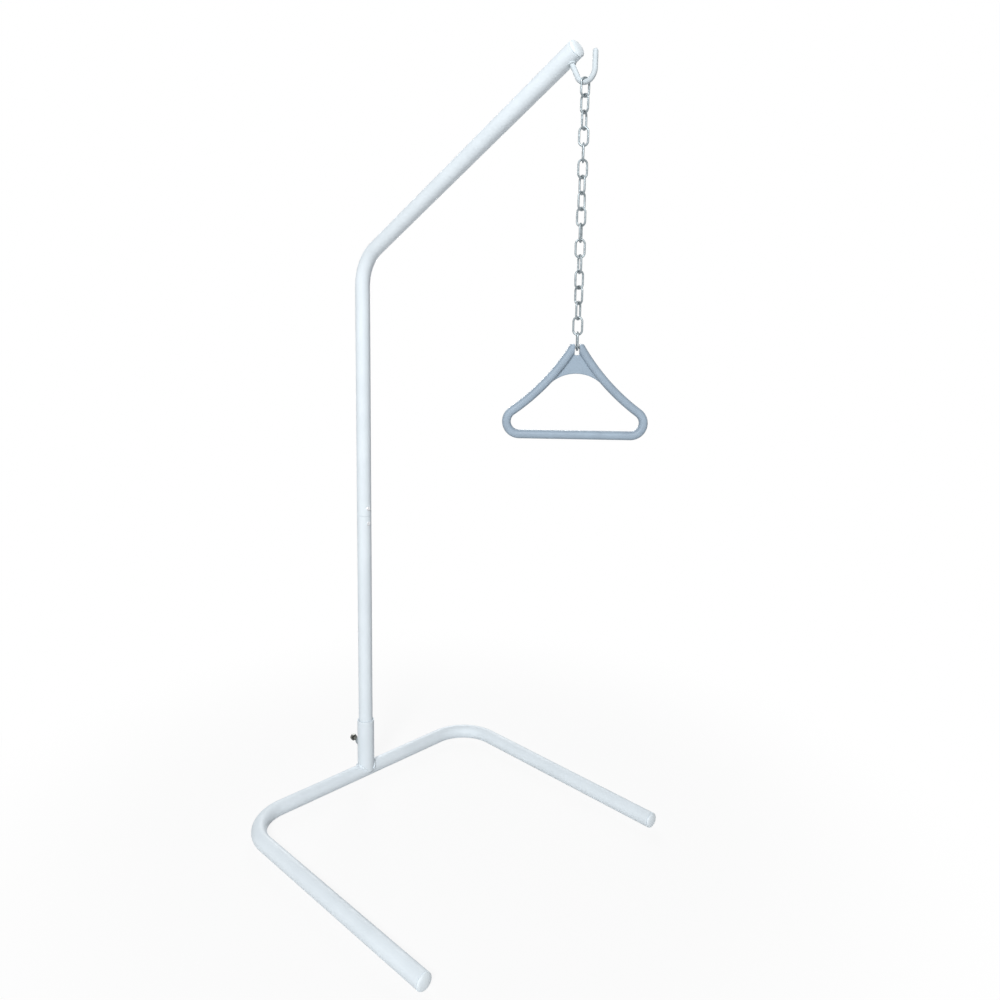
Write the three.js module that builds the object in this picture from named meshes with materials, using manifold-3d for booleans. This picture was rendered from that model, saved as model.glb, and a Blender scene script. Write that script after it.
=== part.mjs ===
// A free-standing bed trapeze: a U-shaped floor frame, a mast that swivels in a welded socket,
// a sloping arm, and a triangle handle that hangs from the arm's hook on a steel chain.
// Millimetres and degrees, +Z up. The origin is on the floor, straight under the mast.
// The crossbar lies along Y; the two legs and the arm reach towards +X.
import * as THREE from "three";
import { mergeVertices } from "three/addons/utils/BufferGeometryUtils.js";
import Module from "manifold-3d";

const wasm = await Module();
wasm.setup();

// Clearances
const FIT_GAP = 0.3; // between pieces that seat on or in each other
const OVERRUN = 5; // how far a cut runs past what it cuts

// Main tubes
const TUBE_DIAMETER = 35;
const TUBE_WALL = 2;
const BEND_RADIUS = 100; // centre line of every tube bend

// Floor frame
const BASE_WIDTH = 700; // between the centre lines of the two legs
const LEG_REACH = 645; // from the crossbar's centre line to the tube's open ends

// Mast and arm
const MAST_HEIGHT = 1310; // floor to the crossing of the mast's and the arm's centre lines
const SEAM_HEIGHT = 695; // floor to the seam between the lower and the upper tube
const ARM_LENGTH = 733; // from that crossing to the arm's open end
const ARM_TILT = 61; // degrees from upright
const SPIGOT_LENGTH = 150;
const SPIGOT_WALL = 2;
const RIVET_SPACING = 38;
const RIVET_SHANK = 5;
const RIVET_HEAD = 11;
const RIVET_HEAD_HEIGHT = 2.2;
const RIVET_TAIL = 7.5;
const RIVET_TAIL_LENGTH = 4;

// End caps of the legs and the arm
const CAP_DOME = 7; // how far the dome stands out of the tube
const CAP_RIM = 1.5; // straight edge before the dome starts
const CAP_PLUG = 22;
const CAP_WALL = 2.5;

// Socket and its clamp screw
const SOCKET_DIAMETER = 42.4;
const SOCKET_CLEARANCE = 0.7; // all round, between the mast and the socket's bore
const SOCKET_TOP = 155; // above the floor
const SOCKET_RIM_CHAMFER = 1;
const SOCKET_WELD = 4;
const CLAMP_HEIGHT = 85; // above the floor
const CLAMP_SHANK = 10;
const CLAMP_HEAD_FLATS = 15;
const CLAMP_HEAD_HEIGHT = 8;
const CLAMP_HEAD_REACH = 58; // from the mast's centre line to the outer face of the head
const CLAMP_POINT = 3; // length of the shank's tapered tip
const CLAMP_POINT_DIAMETER = 6;
const NUT_FLATS = 19;
const NUT_HEIGHT = 10;

// Hook
const HOOK_ROD = 10;
const HOOK_RADIUS = 21; // centre line of its round bottom
const HOOK_SETBACK = 19; // from the arm's open end to the rod's root
const HOOK_SHANK = 27.3; // straight stretch between the arm and the bend
const HOOK_TIP = 32; // straight stretch on the open side, with its rounded end
const HOOK_WELD = 4;

// Chain
const LINK_COUNT = 17;
const LINK_WIRE = 4;
const LINK_WIDTH = 20.5; // outside
const LINK_PITCH = 28;
const LINK_TURN = 15.15; // how much more than a right angle each link is turned from the last
const FIRST_LINK_TURN = -18; // between the first link's normal and the rod

// Handle
const HANDLE_WIDTH = 274;
const HANDLE_DROP = 172.5; // from the pin down to the underside of the grip
const HANDLE_EAR_RISE = 6; // from the pin up to the top of the ears
const HANDLE_BAR = 16.5; // thickness seen from the front
const HANDLE_DEPTH = 22;
const HANDLE_CORNER = 24; // centre line of the lower corners
const HANDLE_SIDE_RADIUS = 415; // hollow curve of both sides
const HANDLE_APEX_RISE = 11; // from the pin up to where the centre lines of the sides meet
const NOTCH_WIDTH = 9;
const NOTCH_DEPTH = 14.5; // below the pin
const WEB_THICKNESS = 8;
const WEB_DROP = 49; // from the pin down to the top of the web's arch
const WEB_ARCH_RADIUS = 70;
const WEB_FOOT = 66; // from the pin down to the web's lower corners, inside the sides
const PIN_DIAMETER = 5;
const PIN_LENGTH = 26;

// Facets
const TUBE_SIDES = 20;
const ROD_SIDES = 12;
const ROUND_SIDES = 24;
const WIRE_SIDES = 8;
const LINK_STEPS = 20;
const BAR_SIDES = 16;
const BEND_STEP = 10; // degrees of bend between two rings of a swept piece
const SIDE_STEPS = 6;
const DOME_STEPS = 5;

const radians = THREE.MathUtils.degToRad;
const X = new THREE.Vector3(1, 0, 0);
const Y = new THREE.Vector3(0, 1, 0);
const Z = new THREE.Vector3(0, 0, 1);

// Finishes
const paintedSteel = new THREE.MeshStandardMaterial({ color: 0xe9f0f5, roughness: 0.35, metalness: 0.1 });
const whitePlastic = new THREE.MeshStandardMaterial({ color: 0xeef2f4, roughness: 0.5, metalness: 0 });
const zincSteel = new THREE.MeshStandardMaterial({ color: 0x8f9796, roughness: 0.4, metalness: 0.9 });
const darkSteel = new THREE.MeshStandardMaterial({ color: 0x3a3c3d, roughness: 0.45, metalness: 0.9 });
const handlePlastic = new THREE.MeshStandardMaterial({ color: 0x8ea3b8, roughness: 0.55, metalness: 0 });

// A piece is a named mesh with its own copy of a finish.
function piece(name, geometry, finish) {
  const mesh = new THREE.Mesh(geometry, finish.clone());
  mesh.name = name;
  return mesh;
}

// Joining and cutting
function solid(geometry) {
  const bare = new THREE.BufferGeometry();
  const whole = geometry.index ? geometry.toNonIndexed() : geometry;
  bare.setAttribute("position", whole.getAttribute("position"));
  const merged = mergeVertices(bare, 1e-4);
  return new wasm.Manifold(
    new wasm.Mesh({
      numProp: 3,
      vertProperties: merged.attributes.position.array,
      triVerts: new Uint32Array(merged.index.array),
    }),
  );
}

function geometryOf(manifold) {
  const mesh = manifold.getMesh();
  const geometry = new THREE.BufferGeometry();
  geometry.setAttribute("position", new THREE.BufferAttribute(mesh.vertProperties, mesh.numProp));
  geometry.setIndex(new THREE.BufferAttribute(mesh.triVerts, 1));
  geometry.computeVertexNormals();
  return geometry;
}

function cut(geometry, ...tools) {
  return geometryOf(tools.reduce((left, tool) => left.subtract(solid(tool)), solid(geometry)));
}

function join(geometry, ...others) {
  return geometryOf(others.reduce((whole, other) => whole.add(solid(other)), solid(geometry)));
}

function common(geometry, other) {
  return geometryOf(solid(geometry).intersect(solid(other)));
}

// A polygon whose flats, not its corners, lie at the given radius, with a flat facing each way.
function flatSided(PathClass, radius, sides) {
  const path = new PathClass();
  const corner = radius / Math.cos(Math.PI / sides);
  for (let k = 0; k < sides; k++) {
    const angle = ((k + 0.5) * 2 * Math.PI) / sides;
    const point = [corner * Math.cos(angle), corner * Math.sin(angle)];
    if (k) path.lineTo(...point);
    else path.moveTo(...point);
  }
  path.closePath();
  return path;
}

const rodSection = (diameter, sides) => flatSided(THREE.Shape, diameter / 2, sides);

function tubeSection(diameter, wall) {
  const section = rodSection(diameter, TUBE_SIDES);
  section.holes.push(flatSided(THREE.Path, diameter / 2 - wall, TUBE_SIDES));
  return section;
}

// A centre line as a tube bender makes it: straight stretches and round bends in one plane.
// It has a station at the ends of each straight and every few degrees of each bend.
class BentLine extends THREE.Curve {
  constructor(start, heading, turnAxis) {
    super();
    this.points = [start.clone()];
    this.headings = [heading.clone().normalize()];
    this.turnAxis = turnAxis;
  }

  get steps() {
    return this.points.length - 1;
  }

  get end() {
    return this.points[this.steps];
  }

  get endHeading() {
    return this.headings[this.steps];
  }

  straight(length) {
    const heading = this.endHeading;
    this.points.push(this.end.clone().addScaledVector(heading, length));
    this.headings.push(heading.clone());
    return this;
  }

  bend(degrees, radius, steps = Math.ceil(Math.abs(degrees) / BEND_STEP)) {
    const inward = this.turnAxis.clone().cross(this.endHeading);
    const centre = this.end.clone().addScaledVector(inward, Math.sign(degrees) * radius);
    const arm = this.end.clone().sub(centre);
    const heading = this.endHeading.clone();
    for (let k = 1; k <= steps; k++) {
      const angle = radians((degrees * k) / steps);
      this.points.push(arm.clone().applyAxisAngle(this.turnAxis, angle).add(centre));
      this.headings.push(heading.clone().applyAxisAngle(this.turnAxis, angle));
    }
    return this;
  }

  getPoint(t) {
    return this.points[Math.round(t * this.steps)].clone();
  }

  getPointAt(u) {
    return this.getPoint(u);
  }

  getTangentAt(u) {
    return this.headings[Math.round(u * this.steps)].clone();
  }
}

const sweep = (section, line) =>
  new THREE.ExtrudeGeometry(section, { extrudePath: line, steps: line.steps, bevelEnabled: false });

// A bar of one section between two heights of its own Z axis.
function prism(section, from, to) {
  const bar = new THREE.ExtrudeGeometry(section, { depth: to - from, bevelEnabled: false });
  return bar.translate(0, 0, from);
}

// A revolved profile of [radius, height] points, which starts and ends on the axis, about +Z.
function revolved(profile, sides) {
  const points = profile.map(([radius, height]) => new THREE.Vector2(radius, height));
  return new THREE.LatheGeometry(points, sides).rotateX(Math.PI / 2);
}

// Points of a quarter ellipse from [radius, base] up to the axis.
function domeProfile(radius, base, height, steps) {
  const points = [];
  for (let k = 0; k < steps; k++) {
    const angle = (k / steps) * (Math.PI / 2);
    points.push([radius * Math.cos(angle), base + height * Math.sin(angle)]);
  }
  points.push([0, base + height]);
  return points;
}

// Turns a piece that was made along +Z so that its +Z lies along the given direction.
function aim(object, position, direction) {
  object.position.copy(position);
  object.quaternion.setFromUnitVectors(Z, direction.clone().normalize());
  return object;
}

// Places that several pieces share
const axisHeight = TUBE_DIAMETER / 2;
const boreRadius = TUBE_DIAMETER / 2 - TUBE_WALL;
const crossbarTop = TUBE_DIAMETER;
const mastFoot = crossbarTop + FIT_GAP;
const socketBore = TUBE_DIAMETER / 2 + SOCKET_CLEARANCE;
const armHeading = new THREE.Vector3(Math.sin(radians(ARM_TILT)), 0, Math.cos(radians(ARM_TILT)));
const armUnderside = new THREE.Vector3(Math.cos(radians(ARM_TILT)), 0, -Math.sin(radians(ARM_TILT)));
const armCorner = new THREE.Vector3(0, 0, MAST_HEIGHT);
const armEnd = armCorner.clone().addScaledVector(armHeading, ARM_LENGTH);

// Floor frame
const legEnds = [-1, 1].map((side) => new THREE.Vector3(LEG_REACH, (side * BASE_WIDTH) / 2, axisHeight));

function baseFrame() {
  const line = new BentLine(legEnds[0], X.clone().negate(), Z)
    .straight(LEG_REACH - BEND_RADIUS)
    .bend(-90, BEND_RADIUS)
    .straight(BASE_WIDTH - 2 * BEND_RADIUS)
    .bend(-90, BEND_RADIUS)
    .straight(LEG_REACH - BEND_RADIUS);
  return piece("base_frame", sweep(tubeSection(TUBE_DIAMETER, TUBE_WALL), line), paintedSteel);
}

// A moulded cap: a hollow plug in the bore and a dome as wide as the tube.
function endCap(name) {
  const plugRadius = boreRadius - FIT_GAP;
  const rimRadius = TUBE_DIAMETER / 2;
  const profile = [
    [0, FIT_GAP],
    [plugRadius - CAP_WALL, FIT_GAP],
    [plugRadius - CAP_WALL, -CAP_PLUG],
    [plugRadius, -CAP_PLUG],
    [plugRadius, FIT_GAP],
    [rimRadius, FIT_GAP],
    ...domeProfile(rimRadius, FIT_GAP + CAP_RIM, CAP_DOME - CAP_RIM, DOME_STEPS),
  ];
  return piece(name, revolved(profile, ROUND_SIDES), whitePlastic);
}

// Socket: a wider tube, cut to saddle the crossbar and to let the clamp screw through.
function socketTube() {
  const outer = rodSection(SOCKET_DIAMETER, TUBE_SIDES);
  outer.holes.push(flatSided(THREE.Path, socketBore, TUBE_SIDES));
  const tube = prism(outer, axisHeight, SOCKET_TOP);
  const saddle = crossbarBlank(FIT_GAP);
  return piece("socket", cut(tube, saddle, clampHole(), rimChamfer()), paintedSteel);
}

// The crossbar's outside, widened all round by a margin, as a cutting tool.
function crossbarBlank(margin) {
  const reach = SOCKET_DIAMETER + OVERRUN;
  const start = new THREE.Vector3(0, -reach, axisHeight);
  const line = new BentLine(start, Y, Z).straight(2 * reach);
  return sweep(rodSection(TUBE_DIAMETER + 2 * margin, TUBE_SIDES), line);
}

function clampHole() {
  const radius = CLAMP_SHANK / 2 + FIT_GAP;
  const hole = prism(flatSided(THREE.Shape, radius, ROD_SIDES), 0, SOCKET_DIAMETER);
  return hole.rotateY(-Math.PI / 2).translate(0, 0, CLAMP_HEIGHT);
}

// A ring that takes the sharp outer edge off the socket's mouth.
function rimChamfer() {
  const corner = SOCKET_DIAMETER / 2 / Math.cos(Math.PI / TUBE_SIDES);
  const profile = [
    [corner - SOCKET_RIM_CHAMFER, SOCKET_TOP],
    [corner + OVERRUN, SOCKET_TOP - SOCKET_RIM_CHAMFER - OVERRUN],
    [corner + OVERRUN, SOCKET_TOP + OVERRUN],
    [corner - SOCKET_RIM_CHAMFER, SOCKET_TOP + OVERRUN],
    [corner - SOCKET_RIM_CHAMFER, SOCKET_TOP],
  ];
  return revolved(profile, ROUND_SIDES);
}

// The weld bead fills the corner between the socket and the crossbar, on one side of the socket.
function socketWeld(name, side) {
  const socketOuter = SOCKET_DIAMETER / 2;
  const reach = socketOuter + SOCKET_WELD;
  const bead = crossbarBlank(SOCKET_WELD / 2);
  const around = prism(flatSided(THREE.Shape, socketOuter + SOCKET_WELD / 2, TUBE_SIDES), axisHeight, 2 * reach);
  const shape = cut(
    common(bead, around),
    crossbarBlank(FIT_GAP),
    prism(flatSided(THREE.Shape, socketOuter + FIT_GAP, TUBE_SIDES), 0, 3 * reach),
    new THREE.BoxGeometry(2 * reach, reach, 4 * reach).translate(0, (-side * reach) / 2, 0),
  );
  return piece(name, shape, paintedSteel);
}

// Clamp screw and the nut that is welded to the back of the socket
function clampNut() {
  const section = flatSided(THREE.Shape, NUT_FLATS / 2, 6);
  section.holes.push(flatSided(THREE.Path, CLAMP_SHANK / 2 + FIT_GAP, ROD_SIDES));
  const from = SOCKET_DIAMETER / 2 + FIT_GAP;
  const nut = piece("clamp_nut", prism(section, from, from + NUT_HEIGHT), paintedSteel);
  return aim(nut, new THREE.Vector3(0, 0, CLAMP_HEIGHT), X.clone().negate());
}

function clampScrew() {
  const tip = TUBE_DIAMETER / 2 + FIT_GAP;
  const shankRadius = CLAMP_SHANK / 2;
  const headBase = CLAMP_HEAD_REACH - CLAMP_HEAD_HEIGHT;
  const shank = revolved(
    [
      [0, tip],
      [CLAMP_POINT_DIAMETER / 2, tip],
      [shankRadius, tip + CLAMP_POINT],
      [shankRadius, headBase + CLAMP_HEAD_HEIGHT / 2],
      [0, headBase + CLAMP_HEAD_HEIGHT / 2],
    ],
    ROD_SIDES,
  );
  const hexagon = prism(flatSided(THREE.Shape, CLAMP_HEAD_FLATS / 2, 6), headBase, CLAMP_HEAD_REACH);
  const headRadius = CLAMP_HEAD_FLATS / 2 / Math.cos(Math.PI / 6);
  const turned = revolved(
    [
      [0, headBase],
      [headRadius, headBase],
      [headRadius, CLAMP_HEAD_REACH - CLAMP_HEAD_HEIGHT / 6],
      [CLAMP_HEAD_FLATS / 2, CLAMP_HEAD_REACH],
      [0, CLAMP_HEAD_REACH],
    ],
    ROUND_SIDES,
  );
  const screw = piece("clamp_screw", join(shank, common(hexagon, turned)), darkSteel);
  return aim(screw, new THREE.Vector3(0, 0, CLAMP_HEIGHT), X.clone().negate());
}

// Mast: a straight lower tube and a bent upper tube that meet on an inner spigot.
const rivetHeights = [-1, 1].map((side) => SEAM_HEIGHT + (side * RIVET_SPACING) / 2);

function rivetHoles() {
  const section = rodSection(RIVET_SHANK + 2 * FIT_GAP, ROD_SIDES);
  return rivetHeights.map((height) =>
    prism(section, 0, TUBE_DIAMETER).rotateY(Math.PI / 2).translate(0, 0, height),
  );
}

function lowerMast() {
  const tube = prism(tubeSection(TUBE_DIAMETER, TUBE_WALL), mastFoot, SEAM_HEIGHT - FIT_GAP / 2);
  return piece("lower_mast", cut(tube, rivetHoles()[0]), paintedSteel);
}

function upperMast() {
  const turn = BEND_RADIUS * Math.tan(radians(ARM_TILT) / 2);
  const start = new THREE.Vector3(0, 0, SEAM_HEIGHT + FIT_GAP / 2);
  const line = new BentLine(start, Z, Y)
    .straight(MAST_HEIGHT - turn - start.z)
    .bend(ARM_TILT, BEND_RADIUS)
    .straight(ARM_LENGTH - turn);
  const tube = sweep(tubeSection(TUBE_DIAMETER, TUBE_WALL), line);
  return piece("upper_mast", cut(tube, rivetHoles()[1]), paintedSteel);
}

function mastSpigot() {
  const section = tubeSection(2 * (boreRadius - FIT_GAP), SPIGOT_WALL);
  const half = SPIGOT_LENGTH / 2;
  const tube = prism(section, SEAM_HEIGHT - half, SEAM_HEIGHT + half);
  return piece("mast_spigot", cut(tube, ...rivetHoles()), zincSteel);
}

// A blind rivet, with its head outside and its tail drawn up inside the spigot.
function rivet(name, height) {
  const seat = TUBE_DIAMETER / 2 + FIT_GAP;
  const spigotBore = boreRadius - FIT_GAP - SPIGOT_WALL;
  const inside = Math.sqrt(spigotBore ** 2 - (RIVET_TAIL / 2) ** 2) - FIT_GAP;
  const profile = [
    [0, inside - RIVET_TAIL_LENGTH],
    [RIVET_TAIL / 4, inside - RIVET_TAIL_LENGTH],
    [RIVET_TAIL / 2, inside - RIVET_TAIL_LENGTH / 2],
    [RIVET_TAIL / 2, inside],
    [RIVET_SHANK / 2, inside],
    [RIVET_SHANK / 2, seat],
    ...domeProfile(RIVET_HEAD / 2, seat, RIVET_HEAD_HEIGHT, DOME_STEPS),
  ];
  const body = piece(name, revolved(profile, ROD_SIDES), zincSteel);
  return aim(body, new THREE.Vector3(0, 0, height), X);
}

// Hook: a round rod welded square to the arm's underside, bent into a hook that opens upwards.
const hookAlong = ARM_LENGTH - HOOK_SETBACK;
const hookRoot = armCorner
  .clone()
  .addScaledVector(armHeading, hookAlong)
  .addScaledVector(armUnderside, TUBE_DIAMETER / 2 + FIT_GAP);

function hookLine() {
  return new BentLine(hookRoot, armUnderside, Y)
    .straight(HOOK_SHANK)
    .bend(-(ARM_TILT + 90), HOOK_RADIUS)
    .straight(HOOK_TIP - HOOK_ROD / 2);
}

function hook() {
  const line = hookLine();
  const tip = new THREE.SphereGeometry(HOOK_ROD / 2, ROD_SIDES, ROD_SIDES / 2).rotateX(Math.PI / 2);
  tip.translate(line.end.x, line.end.y, line.end.z);
  return piece("hook", join(sweep(rodSection(HOOK_ROD, ROD_SIDES), line), tip), paintedSteel);
}

function hookWeld() {
  const inner = HOOK_ROD / 2 / Math.cos(Math.PI / ROD_SIDES) + FIT_GAP;
  const base = TUBE_DIAMETER / 2 - HOOK_WELD;
  const top = TUBE_DIAMETER / 2 + HOOK_WELD;
  const cone = revolved(
    [
      [inner, base],
      [inner + HOOK_WELD, base],
      [inner + HOOK_WELD, TUBE_DIAMETER / 2],
      [inner, top],
      [inner, base],
    ],
    ROUND_SIDES,
  );
  const reach = 2 * (inner + HOOK_WELD);
  const blank = prism(rodSection(TUBE_DIAMETER + 2 * FIT_GAP, TUBE_SIDES), -reach, reach);
  const ring = piece("hook_weld", cut(cone, blank.rotateY(Math.PI / 2)), paintedSteel);
  const place = armCorner.clone().addScaledVector(armHeading, hookAlong);
  const across = new THREE.Matrix4().makeBasis(armHeading.clone().negate(), Y, armUnderside);
  ring.position.copy(place);
  ring.quaternion.setFromRotationMatrix(across);
  return ring;
}

// Where the chain hangs: the rod's centre line at the lowest point of the hook.
const rodBottom = hookRoot
  .clone()
  .addScaledVector(armUnderside, HOOK_SHANK)
  .addScaledVector(armHeading, HOOK_RADIUS)
  .addScaledVector(Z, -HOOK_RADIUS);

// A chain link: a round wire ring, drawn apart at its middle so that two straight legs join its bows.
function linkGeometry() {
  const bow = (LINK_WIDTH - LINK_WIRE) / 2;
  const insideLength = LINK_PITCH + FIT_GAP;
  const leg = insideLength / 2 - bow + LINK_WIRE / 2;
  const ring = new THREE.TorusGeometry(bow / Math.cos(Math.PI / LINK_STEPS), LINK_WIRE / 2, WIRE_SIDES, LINK_STEPS);
  ring.rotateZ(Math.PI / LINK_STEPS);
  const place = ring.getAttribute("position");
  for (let k = 0; k < place.count; k++) place.setY(k, place.getY(k) + Math.sign(place.getY(k)) * leg);
  ring.computeVertexNormals();
  // The ring stands upright, with its normal along +X.
  return ring.rotateX(Math.PI / 2).rotateZ(Math.PI / 2);
}

const firstLinkHeight = rodBottom.z + HOOK_ROD / 2 + FIT_GAP - (LINK_PITCH + FIT_GAP) / 2;
const linkHeight = (index) => firstLinkHeight - index * LINK_PITCH;
const linkTurn = (index) => FIRST_LINK_TURN + index * (90 + LINK_TURN);
const lastLink = LINK_COUNT - 1;

function chain() {
  const group = new THREE.Group();
  for (let index = 0; index < LINK_COUNT; index++) {
    const link = piece(`chain_link_${String(index + 1).padStart(2, "0")}`, linkGeometry(), zincSteel);
    link.position.set(rodBottom.x, rodBottom.y, linkHeight(index));
    link.rotation.z = radians(linkTurn(index));
    group.add(link);
  }
  return group;
}

// Handle, in its own frame: the pin at the origin along X, the front facing -Y, +Z up.
const barHalf = HANDLE_BAR / 2;
const gripLine = -HANDLE_DROP + barHalf;
const cornerCentre = new THREE.Vector3(HANDLE_WIDTH / 2 - barHalf - HANDLE_CORNER, 0, gripLine + HANDLE_CORNER);
const apex = new THREE.Vector3(0, 0, HANDLE_APEX_RISE);

// The centre of a side's hollow curve, which runs through the apex and touches the corner's arc.
function sideCentre() {
  const toCorner = HANDLE_SIDE_RADIUS + HANDLE_CORNER;
  const between = cornerCentre.clone().sub(apex);
  const span = between.length();
  const along = (HANDLE_SIDE_RADIUS ** 2 - toCorner ** 2 + span ** 2) / (2 * span);
  const off = Math.sqrt(HANDLE_SIDE_RADIUS ** 2 - along ** 2);
  const outward = between.clone().normalize().cross(Y);
  return apex.clone().addScaledVector(between.normalize(), along).addScaledVector(outward, off);
}

// An oval, a little squarer than an ellipse.
function barSection() {
  const section = new THREE.Shape();
  const squareness = 0.8;
  for (let k = 0; k < BAR_SIDES; k++) {
    const angle = ((k + 0.5) * 2 * Math.PI) / BAR_SIDES;
    const reach = (value) => Math.sign(value) * Math.abs(value) ** squareness;
    const point = [barHalf * reach(Math.cos(angle)), (HANDLE_DEPTH / 2) * reach(Math.sin(angle))];
    if (k) section.lineTo(...point);
    else section.moveTo(...point);
  }
  section.closePath();
  return section;
}

// Half of the handle's loop: from past the middle of the grip, round the corner and up one side.
function halfLoop() {
  const centre = sideCentre();
  const touch = cornerCentre.clone().lerp(centre, HANDLE_CORNER / (HANDLE_CORNER + HANDLE_SIDE_RADIUS));
  const cornerTurn = THREE.MathUtils.radToDeg(touch.clone().sub(cornerCentre).angleTo(Z.clone().negate()));
  const sideTurn = THREE.MathUtils.radToDeg(touch.clone().sub(centre).angleTo(apex.clone().sub(centre)));
  const start = new THREE.Vector3(-OVERRUN, 0, gripLine);
  const line = new BentLine(start, X, Y)
    .straight(cornerCentre.x + OVERRUN)
    .bend(-cornerTurn, HANDLE_CORNER)
    .bend(sideTurn, HANDLE_SIDE_RADIUS, SIDE_STEPS)
    .straight(HANDLE_EAR_RISE + HANDLE_BAR);
  return sweep(barSection(), line);
}

// The thin plate that ties the two sides together under the notch, with an arched lower edge.
function webPlate() {
  const foot = cornerCentre.clone().sub(apex).setLength(1);
  const spread = ((WEB_FOOT + HANDLE_APEX_RISE) * foot.x) / -foot.z;
  const outline = new THREE.Shape([
    new THREE.Vector2(0, apex.z),
    new THREE.Vector2(-spread, -WEB_FOOT),
    new THREE.Vector2(spread, -WEB_FOOT),
  ]);
  const half = WEB_THICKNESS / 2;
  const plate = prism(outline, -half, half).rotateX(Math.PI / 2);
  const arch = new THREE.CylinderGeometry(WEB_ARCH_RADIUS, WEB_ARCH_RADIUS, HANDLE_DEPTH, 2 * ROUND_SIDES);
  return cut(plate, arch.translate(0, 0, -WEB_DROP - WEB_ARCH_RADIUS));
}

function handleBody() {
  const half = halfLoop();
  const other = half.clone().rotateZ(Math.PI);
  const above = new THREE.BoxGeometry(HANDLE_WIDTH, HANDLE_WIDTH, HANDLE_WIDTH);
  above.translate(0, 0, HANDLE_EAR_RISE + HANDLE_WIDTH / 2);
  const notchHeight = NOTCH_DEPTH + HANDLE_EAR_RISE + OVERRUN;
  const notch = new THREE.BoxGeometry(NOTCH_WIDTH, HANDLE_DEPTH + 2 * OVERRUN, notchHeight);
  notch.translate(0, 0, notchHeight / 2 - NOTCH_DEPTH);
  const bore = prism(rodSection(PIN_DIAMETER + 2 * FIT_GAP, ROD_SIDES), -HANDLE_WIDTH / 4, HANDLE_WIDTH / 4);
  bore.rotateY(Math.PI / 2);
  return piece("handle", cut(join(half, other, webPlate()), above, notch, bore), handlePlastic);
}

function handlePin() {
  const half = PIN_LENGTH / 2;
  const pin = piece("handle_pin", prism(rodSection(PIN_DIAMETER, ROD_SIDES), -half, half), zincSteel);
  pin.rotation.y = Math.PI / 2;
  return pin;
}

// The pin lies in the lower bow of the last link, square to it.
function handle() {
  const group = new THREE.Group();
  group.add(handleBody(), handlePin());
  const seat = linkHeight(lastLink) - (LINK_PITCH + FIT_GAP) / 2;
  group.position.set(rodBottom.x, rodBottom.y, seat + FIT_GAP + PIN_DIAMETER / 2);
  group.rotation.z = radians(linkTurn(lastLink));
  return group;
}

// The whole object
function stand() {
  const group = new THREE.Group();
  group.add(baseFrame(), socketTube(), socketWeld("socket_weld_near", -1), socketWeld("socket_weld_far", 1));
  group.add(aim(endCap("leg_cap_near"), legEnds[0], X), aim(endCap("leg_cap_far"), legEnds[1], X));
  group.add(clampNut(), clampScrew());
  return group;
}

function mast() {
  const group = new THREE.Group();
  group.add(lowerMast(), mastSpigot(), upperMast());
  group.add(rivet("spigot_rivet_lower", rivetHeights[0]), rivet("spigot_rivet_upper", rivetHeights[1]));
  group.add(aim(endCap("arm_cap"), armEnd, armHeading), hook(), hookWeld());
  return group;
}

const trapeze = new THREE.Group();
trapeze.add(stand(), mast(), chain(), handle());

export default trapeze;
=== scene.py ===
"""The looks of a free-standing bed trapeze: painted tube stand, zinc chain and moulded handle.

Every length is in metres, in the stand's own frame: the floor at z = 0, the mast along Z, the legs
and the arm towards +X.
"""

import math
from contextlib import contextmanager

import bpy
from mathutils import Matrix, Vector


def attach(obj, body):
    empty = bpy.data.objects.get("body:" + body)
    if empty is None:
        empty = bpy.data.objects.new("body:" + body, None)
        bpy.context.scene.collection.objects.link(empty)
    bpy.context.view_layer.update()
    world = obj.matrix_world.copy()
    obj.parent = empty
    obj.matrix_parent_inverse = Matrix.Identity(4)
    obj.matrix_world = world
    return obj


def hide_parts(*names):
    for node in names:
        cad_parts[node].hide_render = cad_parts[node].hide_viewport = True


MM = 0.001
ORIGIN = Vector((0, 0, 0))
X = Vector((1, 0, 0))
Y = Vector((0, 1, 0))
Z = Vector((0, 0, 1))

# Camera, at the photograph's viewing angle
CAMERA_AZIMUTH = math.radians(44.586)
CAMERA_ELEVATION = math.radians(8.801)
CAMERA_ROLL = math.radians(1.007)
CAMERA_DISTANCE = 1743.36 * MM
CAMERA_TARGET = Vector((468.05, 0, 939.64)) * MM
CAMERA_REACH = 100
LENS = 30.569
FRAME_SHIFT = -0.06

# Lamps: each one's place, what it points at, its width and its power
STAND_MIDDLE = Vector((0.35, 0, 0.95))
LAMPS = {
    "key_lamp": (Vector((3.3, -4.3, 4.1)), STAND_MIDDLE, 1.6, 340),
    "back_lamp": (Vector((-3.8, 3.6, 2.4)), STAND_MIDDLE, 2.5, 170),
    "top_lamp": (Vector((1.2, 0.4, 6.5)), Vector((0.4, 0, 0)), 4.5, 30),
}
ROOM_COLOUR = (0.95, 0.975, 1, 1)
ROOM_STRENGTH = 0.13
WHITE = (1, 1, 1, 1)

# Floor, whose shadow fades out between two distances from the stand
FLOOR_RADIUS = 30
FLOOR_SIDES = 96
FLOOR_DROP = 0.2 * MM
FLOOR_COLOUR = (0.72, 0.72, 0.72, 1)
FADE_CENTRE = (0.3, 0, 0)
FADE_START = 0.5
FADE_END = 1.3
PLAIN_SHARE_NEAR = 0.9

# Fits and edges
GAP = 0.3 * MM
EDGE = 0.4 * MM
EDGE_STEPS = 3
EDGE_ANGLE = math.radians(35)
END_RING = 2 * MM
MERGE = 0.001 * MM
OVERRUN = 1 * MM

# How sharp an edge may be and still be shaded smooth
SMOOTH = math.radians(40)
SMOOTH_NUT = math.radians(50)
SMOOTH_SCREW = math.radians(35)
SMOOTH_WELD = math.radians(70)
SMOOTH_ROUND = math.radians(60)

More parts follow.
